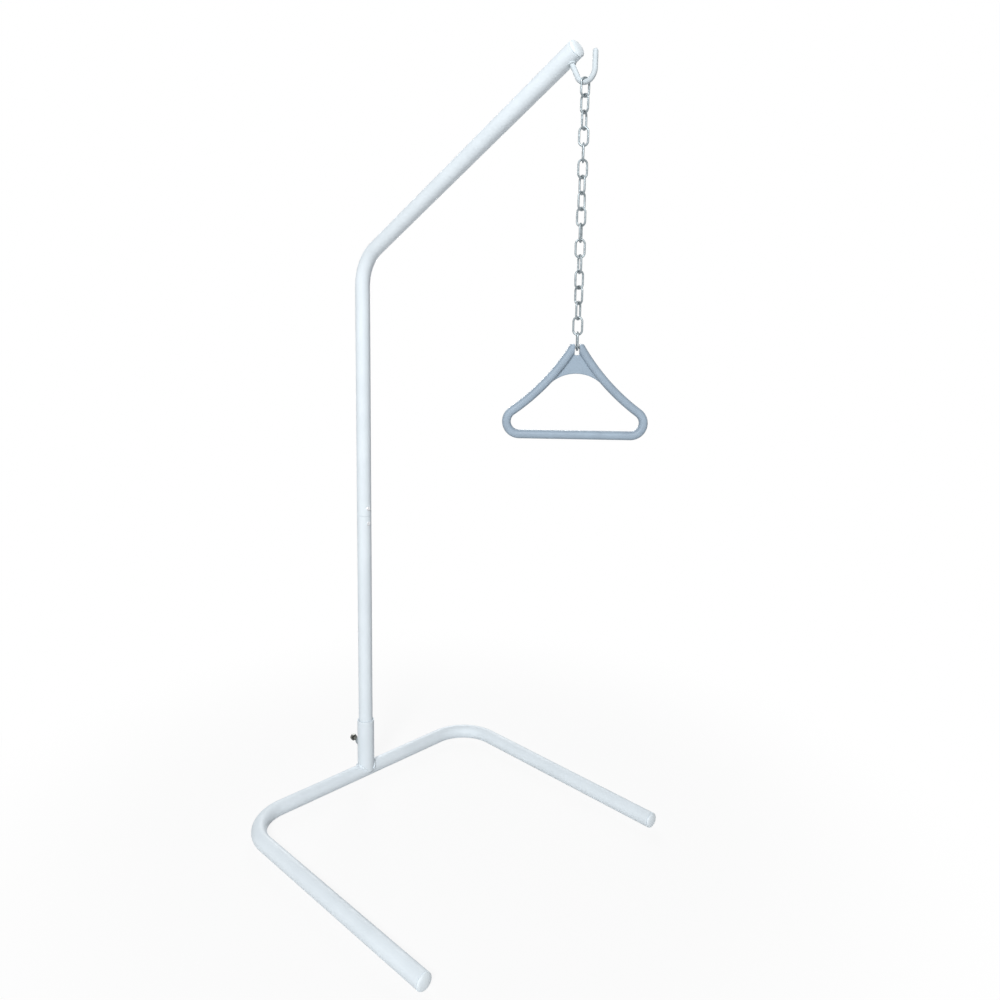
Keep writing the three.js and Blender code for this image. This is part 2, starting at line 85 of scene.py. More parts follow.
# Tubes
TUBE = 35 * MM
WALL = 2 * MM
BEND = 100 * MM
BASE_WIDTH = 700 * MM
LEG_REACH = 645 * MM
MAST_HEIGHT = 1310 * MM
ARM_TILT = math.radians(61)
ARM_LENGTH = 733 * MM
SEAM = 695 * MM
SPIGOT_LENGTH = 150 * MM

# Rivets
RIVET_SPACING = 38 * MM
RIVET_HEAD = 11 * MM
RIVET_DOME = 1.9 * MM
RIVET_RIM = 0.5 * MM
RIVET_ROUND = 0.3 * MM
RIVET_SINK = 0.1 * MM
RIVET_SHANK = 5 * MM
TAIL_CLEARANCE = 1.2 * MM
TAIL_WIDTH = 1 * MM
TAIL_LENGTH = 2.5 * MM
TAIL_TIP = 4 * MM
TAIL_TIP_RADIUS = 1.2 * MM
DIMPLE_MOUTH = 1.4 * MM
DIMPLE_WALL = 1.25 * MM
DIMPLE_FLOOR = 1.15 * MM
DIMPLE_EDGE = 0.2 * MM
DIMPLE_DEPTH = 1.1 * MM

# Caps
CAP_DOME = 7 * MM
CAP_RIM = 1.5 * MM
CAP_PLUG = 22 * MM
CAP_WALL = 2.5 * MM
CAP_EDGE = 0.5 * MM

# Socket and clamp
SOCKET = 42.4 * MM
SOCKET_WALL = 3 * MM
SOCKET_TOP = 155 * MM
SOCKET_EDGE = 0.9 * MM
CLAMP_HEIGHT = 85 * MM
NUT_FLATS = 19 * MM
NUT_HEIGHT = 10 * MM
NUT_EDGE = 0.8 * MM

# Screw: its shank, its dog point, its washer face and its head
SCREW = 10 * MM
SCREW_PITCH = 1.5 * MM
SCREW_GROOVE = 0.55 * MM
THREAD_STOP = 1.5 * MM
POINT_RADIUS = 3 * MM
POINT_FACE = 2.6 * MM
POINT_CHAMFER = 0.5 * MM
POINT_LENGTH = 2.4 * MM
POINT_END = 3.4 * MM
WASHER_HEIGHT = 0.6 * MM
WASHER_INSET = 0.4 * MM
HEAD_FLATS = 15 * MM
HEAD_HEIGHT = 8 * MM
HEAD_REACH = 58 * MM
HEAD_CHAMFER = 2.2 * MM
HEAD_FACE_INSET = 0.3 * MM

# The rings of one thread pitch: how far along it each lies, as a share, and its depth
THREAD_RINGS = ((0.25, SCREW_GROOVE), (0.55, 0), (0.7, 0), (1, SCREW_GROOVE))

# Welds: a bead's radius, how far out it lies as a share of that, its ripples and how deep they
# are, how often it wavers round the ring, and how much it is drawn in
SOCKET_WELD = {
    "bead": 2.6 * MM,
    "out": 0.4,
    "ripples": 58,
    "depth": 0.09,
    "wavers": 5,
    "drawn_in": 0.05,
}
HOOK_WELD = {
    "bead": 2.1 * MM,
    "out": 0.55,
    "ripples": 22,
    "depth": 0.1,
    "wavers": 3,
    "drawn_in": 0.06,
}
WAVER_DEPTH = 0.03
SOCKET_WELD_END = 11 * MM

# Hook
ROD = 10 * MM
HOOK_RADIUS = 21 * MM
HOOK_SETBACK = 19 * MM
HOOK_SHANK = 27.3 * MM
HOOK_TIP = 32 * MM
NEAR_RING = 0.05 * MM

# Chain
LINKS = 17
WIRE = 4 * MM
LINK_WIDTH = 20.5 * MM
LINK_PITCH = 28 * MM
LINK_TURN = math.radians(15.15)
FIRST_TURN = math.radians(-18)
UPSET_REACH = 2.4 * MM
UPSET_DEPTH = 0.09

# Handle
HANDLE_WIDTH = 274 * MM
HANDLE_DROP = 172.5 * MM
EAR_RISE = 6 * MM
BAR = 16.5 * MM
BAR_DEPTH = 22 * MM
BAR_SQUARENESS = 0.8
CORNER = 24 * MM
SIDE_RADIUS = 415 * MM
APEX_RISE = 11 * MM
GRIP_OVERLAP = 5 * MM
NOTCH = 9 * MM
NOTCH_DEPTH = 14.5 * MM
WEB = 8 * MM
WEB_DROP = 49 * MM
WEB_ARCH = 70 * MM
WEB_FOOT = 66 * MM
PIN = 5 * MM
PIN_LENGTH = 26 * MM
PIN_EDGE = 0.5 * MM
BORE_REACH = 68.5 * MM
MOULD_GRAIN = 0.75 * MM
MOULD_SMOOTHING = 0.5
MOULD_PASSES = 18

# Counts of faces round and along
TUBE_SIDES = 72
ROD_SIDES = 32
RIVET_SIDES = 40
SCREW_SIDES = 48
BEAD_SIDES = 14
STEPS_A_RIPPLE = 8
DOME_RINGS = 14
TIP_RINGS = 10
BEND_STEP = math.radians(3)
LINK_STEPS = 48
LINK_CUTS = 14
WIRE_SIDES = 16
BAR_SIDES = 40
BAR_STEPS = 24
ARCH_SIDES = 160

# Finishes. Each noise is its lumps a metre, its detail and, where given, its roughness. Each bump
# is a noise, its strength and its depth.
NOISE_LOW = 0.35
NOISE_HIGH = 0.65
COAT = {
    "shader": {"IOR": 1.45, "Specular IOR Level": 0.15},
    "patches": (14, 2),
    "grain": (60, 3),
    "roughness": (0.42, 0.52),
    "bumps": (((220, 2), 0.035, 0.08 * MM), ((900, 2), 0.03, 0.02 * MM)),
}
FINISHES = {
    # White powder coat with a cool cast and a faint orange peel
    "powder_coat": {**COAT, "colours": ((0.76, 0.83, 0.88), (0.8, 0.87, 0.92))},
    # The same coat, darker, on the hook and its weld: a shaded copy of the powder coat, which is
    # painted shade
    "hook_coat_painted_shade": {**COAT, "colours": ((0.59, 0.655, 0.695), (0.63, 0.695, 0.735))},
    # Smooth white moulded plastic
    "cap_plastic": {
        "shader": {"IOR": 1.5},
        "patches": (90, 2),
        "colours": ((0.76, 0.83, 0.88), (0.81, 0.88, 0.92)),
        "grain": (300, 2),
        "roughness": (0.42, 0.52),
        "bumps": (((2400, 3), 0.1, 0.03 * MM),),
    },
    # Zinc plate with cloudy patches
    "zinc_plate": {
        "shader": {"Metallic": 1},
        "patches": (130, 4, 0.6),
        "colours": ((0.24, 0.275, 0.293), (0.33, 0.373, 0.394)),
        "grain": (500, 4, 0.6),
        "roughness": (0.42, 0.56),
        "bumps": (((700, 2), 0.08, 0.03 * MM),),
    },
    # Polished aluminium, which shows brighter than the zinc
    "bright_rivet": {
        "shader": {"Metallic": 1},
        "patches": (180, 3),
        "colours": ((0.66, 0.68, 0.7), (0.74, 0.76, 0.78)),
        "grain": (700, 3),
        "roughness": (0.26, 0.38),
        "bumps": (((900, 2), 0.06, 0.02 * MM),),
    },
    # Dark oiled steel
    "dark_steel": {
        "shader": {"Metallic": 0.85},
        "patches": (200, 4, 0.6),
        "colours": ((0.075, 0.077, 0.07), (0.165, 0.168, 0.155)),
        "grain": (600, 3),
        "roughness": (0.34, 0.52),
        "bumps": (((1500, 4, 0.6), 0.2, 0.04 * MM),),
    },
    # Blue-grey moulded plastic with a fine satin grain
    "handle_plastic": {
        "shader": {"IOR": 1.48, "Specular IOR Level": 0.35},
        "patches": (28, 3, 0.55),
        "colours": ((0.284, 0.355, 0.432), (0.318, 0.4, 0.482)),
        "grain": (220, 3),
        "roughness": (0.44, 0.56),
        "bumps": (((240, 2), 0.05, 0.06 * MM), ((1100, 2), 0.04, 0.02 * MM)),
    },
}

# Places that follow from the sizes
arm_along = Vector((math.sin(ARM_TILT), 0, math.cos(ARM_TILT)))
arm_under = Vector((math.cos(ARM_TILT), 0, -math.sin(ARM_TILT)))
arm_corner = Vector((0, 0, MAST_HEIGHT))
hook_root = arm_corner + arm_along * (ARM_LENGTH - HOOK_SETBACK) + arm_under * (TUBE / 2 + GAP)
rod_bottom = hook_root + arm_under * HOOK_SHANK + arm_along * HOOK_RADIUS - Z * HOOK_RADIUS

# The handle's, in its own frame: its pin at the origin along X, its front facing -Y
corner_centre = Vector((HANDLE_WIDTH / 2 - BAR / 2 - CORNER, 0, -HANDLE_DROP + BAR / 2 + CORNER))
apex = Vector((0, 0, APEX_RISE))


# Modelling, as by hand


def clear_selection():
    bpy.ops.object.select_all(action="DESELECT")


def take(piece):
    """Makes a piece the only one selected, and the active one."""
    clear_selection()
    piece.select_set(True)
    bpy.context.view_layer.objects.active = piece


def settle(name):
    """Names the piece just added and puts its place into its mesh."""
    piece = bpy.context.object
    piece.name = piece.data.name = name
    bpy.ops.object.transform_apply(location=True, rotation=True, scale=True)
    return piece


@contextmanager
def editing(piece, part="VERT"):
    """Edit mode on one piece, with all of it selected at the start."""
    take(piece)
    bpy.ops.object.mode_set(mode="EDIT")
    bpy.ops.mesh.select_mode(type=part)
    bpy.ops.mesh.select_all(action="SELECT")
    yield
    bpy.ops.object.mode_set(mode="OBJECT")


def pick(piece, test):
    """Selects just the vertices whose place passes a test, in edit mode."""
    bpy.ops.mesh.select_all(action="DESELECT")
    bpy.ops.object.mode_set(mode="OBJECT")
    for vertex in piece.data.vertices:
        vertex.select = test(vertex.co)
    bpy.ops.object.mode_set(mode="EDIT")


def face_out(piece):
    """Merges points that coincide and turns every face outwards."""
    with editing(piece, "FACE"):
        bpy.ops.mesh.remove_doubles(threshold=MERGE)
        bpy.ops.mesh.normals_make_consistent(inside=False)
    return piece


def modified(piece, kind, **settings):
    """Adds a modifier and applies it."""
    take(piece)
    modifier = piece.modifiers.new(kind.title(), kind)
    for key, value in settings.items():
        setattr(modifier, key, value)
    bpy.ops.object.modifier_apply(modifier=modifier.name)
    return piece


def bevelled(piece, width=EDGE):
    return modified(
        piece,
        "BEVEL",
        width=width,
        segments=EDGE_STEPS,
        limit_method="ANGLE",
        angle_limit=EDGE_ANGLE,
        harden_normals=False,
    )


def walled(piece, thickness):
    """Gives an open tube its wall, inwards."""
    return modified(piece, "SOLIDIFY", thickness=thickness, offset=-1, use_even_offset=True)


def combined(piece, operation, *others):
    """Cuts, joins or trims a piece by others, which are used up."""
    for other in others:
        modified(piece, "BOOLEAN", operation=operation, solver="EXACT", object=other)
        bpy.data.objects.remove(other)
    return piece


def aimed(axis):
    """The turn that lays Z along an axis."""
    return Z.rotation_difference(axis).to_euler()


def hoop(name, diameter, centre, axis, sides=TUBE_SIDES):
    clear_selection()
    bpy.ops.mesh.primitive_circle_add(
        vertices=sides, radius=diameter / 2, location=centre, rotation=aimed(axis)
    )
    return settle(name)


def disc(name, radius, sides, height=0):
    clear_selection()
    bpy.ops.mesh.primitive_circle_add(
        vertices=sides, radius=radius, fill_type="NGON", location=(0, 0, height)
    )
    return settle(name)


def rod(name, diameter, start, end, sides=TUBE_SIDES):
    clear_selection()
    bpy.ops.mesh.primitive_cylinder_add(
        vertices=sides,
        radius=diameter / 2,
        depth=(end - start).length,
        location=(start + end) / 2,
        rotation=aimed(end - start),
    )
    return settle(name)


def wire_ring(name, ring, wire, steps, sides, turn=0):
    """A ring of round wire about Z. Both sizes are radii."""
    clear_selection()
    bpy.ops.mesh.primitive_torus_add(
        major_segments=steps,
        minor_segments=sides,
        major_radius=ring,
        minor_radius=wire,
        location=(0, 0, 0),
        rotation=(0, 0, turn),
    )
    return settle(name)


def block(name, low, high):
    clear_selection()
    bpy.ops.mesh.primitive_cube_add(size=1, location=(low + high) / 2, scale=high - low)
    return settle(name)


def push(offset):
    bpy.ops.mesh.extrude_region_move(TRANSFORM_OT_translate={"value": tuple(offset)})


def push_straight(reach):
    """Pushes a tube's far end out.

    A ring close to each end keeps the rounding there from tilting the shading of the whole length.
    """
    end = reach.normalized() * END_RING
    for part in (end, reach - 2 * end, end):
        push(part)


def sweep(start, heading, turn_axis, steps):
    """Pushes the selection straight and spins it round its bends.

    Each step is a length, then an angle, its radius and how many turns make it up.
    """
    place, heading = start.copy(), heading.normalized()
    for length, angle, radius, count in steps:
        if length:
            push(heading * length)
            place += heading * length
        if angle:
            centre = place + turn_axis.cross(heading) * math.copysign(radius, angle)
            bpy.ops.mesh.spin(steps=count, angle=-angle, center=centre, axis=turn_axis)
            turn = Matrix.Rotation(angle, 3, turn_axis)
            place = centre + turn @ (place - centre)
            heading = turn @ heading


def bent(name, start, heading, turn_axis, steps, diameter=TUBE, sides=TUBE_SIDES):
    """A tube of steps, each a length, then an angle and its radius, with a ring near each end."""
    first, *middle, last = steps
    steps = [
        (END_RING, 0, 0),
        (first[0] - END_RING, *first[1:]),
        *middle,
        (last[0] - END_RING, *last[1:]),
        (END_RING, 0, 0),
    ]
    counted = [(*step, math.ceil(abs(step[1]) / BEND_STEP)) for step in steps]
    tube = hoop(name, diameter, start, heading, sides)
    with editing(tube):
        sweep(start, heading, turn_axis, counted)
    return face_out(tube)


def straight_tube(name, diameter, low, high, wall, edge=EDGE):
    tube = hoop(name, diameter, Z * low, Z)
    with editing(tube):
        push_straight(Z * (high - low))
    face_out(tube)
    walled(tube, wall)
    return bevelled(tube, edge)


def raise_rings(rings, foot=ORIGIN):
    """Pushes the selection up through rings, each a radius and a height over the foot."""
    (radius, height), *rest = rings
    for next_radius, next_height in rest:
        push(Z * (next_height - height))
        share = next_radius / radius
        bpy.ops.transform.resize(value=(share, share, 1), center_override=foot + Z * next_height)
        radius, height = next_radius, next_height


def turned(name, profile, sides=TUBE_SIDES):
    """A piece raised along Z from a profile of radius and height, closed at both ends."""
    piece = disc(name, profile[0][0], sides, profile[0][1])
    with editing(piece, "FACE"):
        raise_rings(profile)
    return face_out(piece)


def dome(radius, base, height, rings=DOME_RINGS):
    """Rings of a quarter ellipse from its rim to just short of its top."""
    angles = [math.pi / 2 * k / rings for k in range(rings)]
    return [(radius * math.cos(a), base + height * math.sin(a)) for a in angles]


def moved(piece, place, axis):
    """Puts a piece made along Z at its place, along its axis."""
    turn = Z.rotation_difference(axis).to_matrix().to_4x4()
    piece.data.transform(Matrix.Translation(place) @ turn)
    return piece


def weld_ring(name, inside, height, *, bead, out, ripples, depth, wavers, drawn_in):
    """A rippled weld bead about Z round a radius, each place on it raised to its height."""
    ring = inside + out * bead
    weld = wire_ring(name, ring, bead, ripples * STEPS_A_RIPPLE, BEAD_SIDES)
    for vertex in weld.data.vertices:
        angle = math.atan2(vertex.co.y, vertex.co.x)
        along = Vector((math.cos(angle), math.sin(angle), 0)) * ring
        ripple = depth * abs(math.sin(angle * ripples / 2))
        waver = WAVER_DEPTH * math.sin(wavers * angle)
        swell = 1 + ripple + waver - drawn_in
        vertex.co = along + (vertex.co - along) * swell + Z * height(along)
    return weld


# Finishing


class Nodes:
    """The nodes of one material, added and linked by short calls."""

    def __init__(self, name):
        self.material = bpy.data.materials.new(name)
        self.material.use_nodes = True
        self.tree = self.material.node_tree
        self.shader = self.tree.nodes["Principled BSDF"]
        self.place = self.tree.nodes.new("ShaderNodeTexCoord").outputs["Object"]

    def link(self, source, target):
        self.tree.links.new(source, target)

    def noise(self, scale, detail, roughness=0.5):
        """Noise of so many lumps a metre."""
        noise = self.tree.nodes.new("ShaderNodeTexNoise")
        noise.inputs["Scale"].default_value = scale
        noise.inputs["Detail"].default_value = detail
        noise.inputs["Roughness"].default_value = roughness
        self.link(self.place, noise.inputs["Vector"])
        return noise.outputs["Fac"]

    def between(self, noise, low, high):
        """The middle range of a noise turned into low to high."""
        ranged = self.tree.nodes.new("ShaderNodeMapRange")
        limits = {"From Min": NOISE_LOW, "From Max": NOISE_HIGH, "To Min": low, "To Max": high}
        for key, number in limits.items():
            ranged.inputs[key].default_value = number
        self.link(noise, ranged.inputs["Value"])
        return ranged.outputs["Result"]

    def tint(self, value, low, high):
        """A colour between two, by a value of 0 to 1."""
        mix = self.tree.nodes.new("ShaderNodeMix")
        mix.data_type = "RGBA"
        mix.inputs["A"].default_value = (*low, 1)
        mix.inputs["B"].default_value = (*high, 1)
        self.link(value, mix.inputs["Factor"])
        return mix.outputs["Result"]

    def bump(self, layers):
        """Stacked bumps, each a height, the strength and the depth."""
        normal = None
        for height, strength, depth in layers:
            bump = self.tree.nodes.new("ShaderNodeBump")
            bump.inputs["Strength"].default_value = strength
            bump.inputs["Distance"].default_value = depth
            self.link(height, bump.inputs["Height"])
            if normal:
                self.link(normal, bump.inputs["Normal"])
            normal = bump.outputs["Normal"]
        return normal


def finish(name, shader, patches, colours, grain, roughness, bumps):
    """A material whose colour, roughness and bump follow noises of their own scale."""
    nodes = Nodes(name)
    inputs = nodes.shader.inputs
    for socket, value in shader.items():
        inputs[socket].default_value = value
    cloud = nodes.between(nodes.noise(*patches), 0, 1)
    nodes.link(nodes.tint(cloud, *colours), inputs["Base Color"])
    nodes.link(nodes.between(nodes.noise(*grain), *roughness), inputs["Roughness"])
    layers = [(nodes.noise(*noise), strength, depth) for noise, strength, depth in bumps]
    nodes.link(nodes.bump(layers), inputs["Normal"])
    return nodes.material


def dressed(piece, slot, body, node, look=None, smooth=SMOOTH):
    """Finishes a piece, shades it smooth up to an angle, puts it under its body and hides the CAD
    part that it stands for.

    It looks like its slot's finish unless another look is given.
    """
    piece.data.materials.clear()
    piece.data.materials.append(finishes[look or slot])
    take(piece)
    bpy.ops.object.shade_smooth_by_angle(angle=smooth, keep_sharp_edges=False)
    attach(piece, body)
    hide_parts(node)


# Camera, lights and floor


def camera_frame():
    """The camera's right, up and forward directions, after its roll."""
    azimuth, elevation = CAMERA_AZIMUTH, CAMERA_ELEVATION
    forward = Vector(
        (
            -math.sin(azimuth) * math.cos(elevation),
            math.cos(azimuth) * math.cos(elevation),
            -math.sin(elevation),
        )
    )
    level = Vector((math.cos(azimuth), math.sin(azimuth), 0))
    upright = level.cross(forward)
    right = level * math.cos(CAMERA_ROLL) + upright * math.sin(CAMERA_ROLL)
    up = upright * math.cos(CAMERA_ROLL) - level * math.sin(CAMERA_ROLL)
    return right, up, forward


def add_camera():
    right, up, forward = camera_frame()
    data = bpy.data.cameras.new("camera")
    data.lens = LENS
    data.shift_y = FRAME_SHIFT
    data.clip_end = CAMERA_REACH
    camera = bpy.data.objects.new("camera", data)
    turn = Matrix((right, up, -forward)).transposed().to_4x4()
    camera.matrix_world = Matrix.Translation(CAMERA_TARGET - forward * CAMERA_DISTANCE) @ turn
    bpy.context.scene.collection.objects.link(camera)
    bpy.context.scene.camera = camera


def add_lamps():
    for name, (place, target, size, power) in LAMPS.items():
        data = bpy.data.lights.new(name, "AREA")
        data.shape = "DISK"
        data.size = size
        data.energy = power
        lamp = bpy.data.objects.new(name, data)
        turn = (-Z).rotation_difference(target - place).to_matrix().to_4x4()
        lamp.matrix_world = Matrix.Translation(place) @ turn
        bpy.context.scene.collection.objects.link(lamp)


def seen_directly(tree):
    """1 where the camera, a reflection or glass sees the surface, 0 where it only lights others."""
    path = tree.nodes.new("ShaderNodeLightPath")
    total = path.outputs["Is Camera Ray"]
    for name in ("Is Glossy Ray", "Is Transmission Ray"):
        both = tree.nodes.new("ShaderNodeMath")
        both.operation = "ADD"
        both.use_clamp = True
        tree.links.new(total, both.inputs[0])
        tree.links.new(path.outputs[name], both.inputs[1])
        total = both.outputs["Value"]
    return total


def show_mixed(tree, share, first, second, output):
    """Gives an output a mix of two shaders, by the share of the second."""
    mix = tree.nodes.new("ShaderNodeMixShader")
    for source, target in zip((share, first, second), mix.inputs):
        tree.links.new(source, target)
    tree.links.new(mix.outputs["Shader"], tree.nodes[output].inputs["Surface"])


def add_surroundings():
    """A world that lights the stand evenly and shows as plain white."""
    world = bpy.data.worlds.new("studio")
    bpy.context.scene.world = world
    world.use_nodes = True
    tree = world.node_tree
    light = tree.nodes["Background"]
    light.inputs["Color"].default_value = ROOM_COLOUR
    light.inputs["Strength"].default_value = ROOM_STRENGTH
    seen = tree.nodes.new("ShaderNodeBackground")
    seen.inputs["Color"].default_value = WHITE
    backgrounds = light.outputs["Background"], seen.outputs["Background"]
    show_mixed(tree, seen_directly(tree), *backgrounds, "World Output")


def add_floor():
    """A floor that keeps a soft shadow near the stand and fades to plain white around it."""
    floor = disc("floor", FLOOR_RADIUS, FLOOR_SIDES, -FLOOR_DROP)
    material = bpy.data.materials.new("floor")
    material.use_nodes = True
    tree = material.node_tree
    shadowed = tree.nodes["Principled BSDF"]
    shadowed.inputs["Base Color"].default_value = FLOOR_COLOUR
    shadowed.inputs["Roughness"].default_value = 1
    shadowed.inputs["Specular IOR Level"].default_value = 0
    plain = tree.nodes.new("ShaderNodeEmission")
    plain.inputs["Strength"].default_value = 1
    place = tree.nodes.new("ShaderNodeTexCoord")
    distance = tree.nodes.new("ShaderNodeVectorMath")
    distance.operation = "DISTANCE"
    distance.inputs[1].default_value = FADE_CENTRE
    tree.links.new(place.outputs["Object"], distance.inputs[0])
    fade = tree.nodes.new("ShaderNodeMapRange")
    fade.interpolation_type = "SMOOTHSTEP"
    fade.inputs["From Min"].default_value = FADE_START
    fade.inputs["From Max"].default_value = FADE_END
    fade.inputs["To Min"].default_value = PLAIN_SHARE_NEAR
    fade.inputs["To Max"].default_value = 1
    tree.links.new(distance.outputs["Value"], fade.inputs["Value"])
    share = tree.nodes.new("ShaderNodeMath")
    share.operation = "MULTIPLY"
    tree.links.new(fade.outputs["Result"], share.inputs[0])
    tree.links.new(seen_directly(tree), share.inputs[1])
    shaders = shadowed.outputs["BSDF"], plain.outputs["Emission"]
    show_mixed(tree, share.outputs["Value"], *shaders, "Material Output")
    floor.data.materials.append(material)


# Floor frame


def add_base_frame():
    start = Vector((LEG_REACH, -BASE_WIDTH / 2, TUBE / 2))
    leg = LEG_REACH - BEND
    crossbar = BASE_WIDTH - 2 * BEND
    quarter = -math.pi / 2
    steps = [(leg, quarter, BEND), (crossbar, quarter, BEND), (leg, 0, 0)]
    frame_tube = bent("frame_tube", start, -X, Z, steps)
    walled(frame_tube, WALL)
    bevelled(frame_tube)
    dressed(frame_tube, "powder_coat", "stand", "base_frame")


def add_cap(name, place, axis, body, node):
    """A plug with a hollow shank, a narrow straight rim and a low dome."""
    inside = TUBE / 2 - WALL - GAP
    rim = TUBE / 2
    profile = [
        (inside - CAP_WALL, -GAP),
        (inside - CAP_WALL, -CAP_PLUG),
        (inside - CAP_EDGE, -CAP_PLUG),
        (inside, -CAP_PLUG + CAP_EDGE),
        (inside, GAP),
        (rim - CAP_EDGE, GAP),
        (rim, GAP + CAP_EDGE),
        (rim, GAP + CAP_RIM),
        *dome(rim - CAP_EDGE, GAP + CAP_RIM, CAP_DOME - CAP_RIM),
    ]
    cap = moved(turned(name, profile), place, axis)
    dressed(cap, "cap_plastic", body, node)


def add_caps():
    for side, word in ((-1, "near"), (1, "far")):
        place = Vector((LEG_REACH, side * BASE_WIDTH / 2, TUBE / 2))
        add_cap(f"leg_end_{word}", place, X, "stand", f"leg_cap_{word}")
    add_cap("arm_end", arm_corner + arm_along * ARM_LENGTH, arm_along, "mast", "arm_cap")


def screw_hole(reach):
    """What cuts the screw's hole, from the mast's axis out to a reach."""
    axis = Z * CLAMP_HEIGHT
    return rod("hole", SCREW + 2 * GAP, axis, axis - X * reach, ROD_SIDES)


def add_socket():
    """The short wide tube that saddles the crossbar, with a rounded mouth and the screw's hole."""
    tube = straight_tube("socket_tube", SOCKET, TUBE / 2, SOCKET_TOP, SOCKET_WALL, SOCKET_EDGE)
    middle = Z * TUBE / 2
    saddle = rod("saddle", TUBE + 2 * GAP, middle - Y * SOCKET, middle + Y * SOCKET)
    combined(tube, "DIFFERENCE", saddle, screw_hole(SOCKET))
    dressed(tube, "powder_coat", "stand", "socket")


def saddle_height(along):
    """Height over the floor at which the socket's wall meets the crossbar."""
    radius = TUBE / 2
    x = along.x * TUBE / SOCKET
    return radius + math.sqrt(max(radius**2 - x**2, 0))


def add_socket_welds():
    """Two rippled beads in the corner between the socket and the crossbar."""
    for side, word in ((-1, "near"), (1, "far")):
        weld = weld_ring(f"weld_{word}", SOCKET / 2, saddle_height, **SOCKET_WELD)
        with editing(weld):
            bpy.ops.mesh.bisect(
                plane_co=Y * side * SOCKET_WELD_END,
                plane_no=Y * -side,
                use_fill=True,
                clear_outer=True,
            )
        face_out(weld)
        dressed(weld, "powder_coat", "stand", f"socket_weld_{word}", smooth=SMOOTH_WELD)


def hexagon(name, flats, start, end):
    """A six-sided bar along X at the clamp's height, two of its flats facing up and down."""
    clear_selection()
    bpy.ops.mesh.primitive_cylinder_add(
        vertices=6,
        radius=flats / math.sqrt(3),
        depth=abs(end - start),
        location=((start + end) / 2, 0, CLAMP_HEIGHT),
        rotation=(0, math.pi / 2, 0),
    )
    return settle(name)


def add_clamp_nut():
    """The boss on the socket's back, in zinc because the photograph shows it darker than paint."""
    seat = -(SOCKET / 2 + GAP)
    outer = -(SOCKET / 2 + GAP + NUT_HEIGHT)
    nut = bevelled(hexagon("boss", NUT_FLATS, seat, outer), NUT_EDGE)
    combined(nut, "DIFFERENCE", screw_hole(-2 * outer))
    dressed(nut, "zinc_plate", "stand", "clamp_nut", smooth=SMOOTH_NUT)


def screw_profile(tip, base):
    """The dog point, the thread as a row of rings, and the washer face under the head."""
    root = SCREW / 2 - SCREW_GROOVE
    profile = [
        (POINT_FACE, tip),
        (POINT_RADIUS, tip + POINT_CHAMFER),
        (POINT_RADIUS, tip + POINT_LENGTH),
        (root, tip + POINT_END),
    ]
    along = tip + POINT_END
    while along + SCREW_PITCH < base - THREAD_STOP:
        for share, depth in THREAD_RINGS:
            profile.append((SCREW / 2 - depth, along + share * SCREW_PITCH))
        along += SCREW_PITCH
    washer = HEAD_FLATS / 2 - WASHER_INSET
    profile += [
        (root, base - WASHER_HEIGHT),
        (washer, base - WASHER_HEIGHT),
        (washer, base + OVERRUN),
    ]
    return profile


def add_clamp_screw():
    """A hexagon screw with a chamfered head, its point against the mast."""
    tip = TUBE / 2 + GAP
    base = HEAD_REACH - HEAD_HEIGHT
    axis = Vector((0, 0, CLAMP_HEIGHT))
    screw = moved(turned("screw", screw_profile(tip, base), SCREW_SIDES), axis, -X)
    head = hexagon("head", HEAD_FLATS, -base, -HEAD_REACH)
    clear = HEAD_FLATS / math.sqrt(3) + OVERRUN
    crown = [
        (clear, base - OVERRUN),
        (clear, HEAD_REACH - HEAD_CHAMFER),
        (HEAD_FLATS / 2 - HEAD_FACE_INSET, HEAD_REACH),
        (HEAD_FLATS / 2 - OVERRUN, HEAD_REACH),
    ]
    combined(head, "INTERSECT", moved(turned("chamfer", crown), axis, -X))
    combined(screw, "UNION", head)
    dressed(screw, "dark_steel", "clamp_screw", "clamp_screw", smooth=SMOOTH_SCREW)


# Mast and arm


def add_mast():
    lower = straight_tube("mast_tube", TUBE, TUBE + GAP, SEAM - GAP / 2, WALL)
    dressed(lower, "powder_coat", "mast", "lower_mast")
    run = BEND * math.tan(ARM_TILT / 2)
    start = Z * (SEAM + GAP / 2)
    steps = [(MAST_HEIGHT - run - start.z, ARM_TILT, BEND), (ARM_LENGTH - run, 0, 0)]
    upper = bent("arm_tube", start, Z, Y, steps)
    walled(upper, WALL)
    bevelled(upper)
    dressed(upper, "powder_coat", "mast", "upper_mast")
    inner = TUBE - 2 * (WALL + GAP)
    low, high = SEAM - SPIGOT_LENGTH / 2, SEAM + SPIGOT_LENGTH / 2
    spigot = straight_tube("joint_sleeve", inner, low, high, WALL)
    dressed(spigot, "zinc_plate", "mast", "mast_spigot")


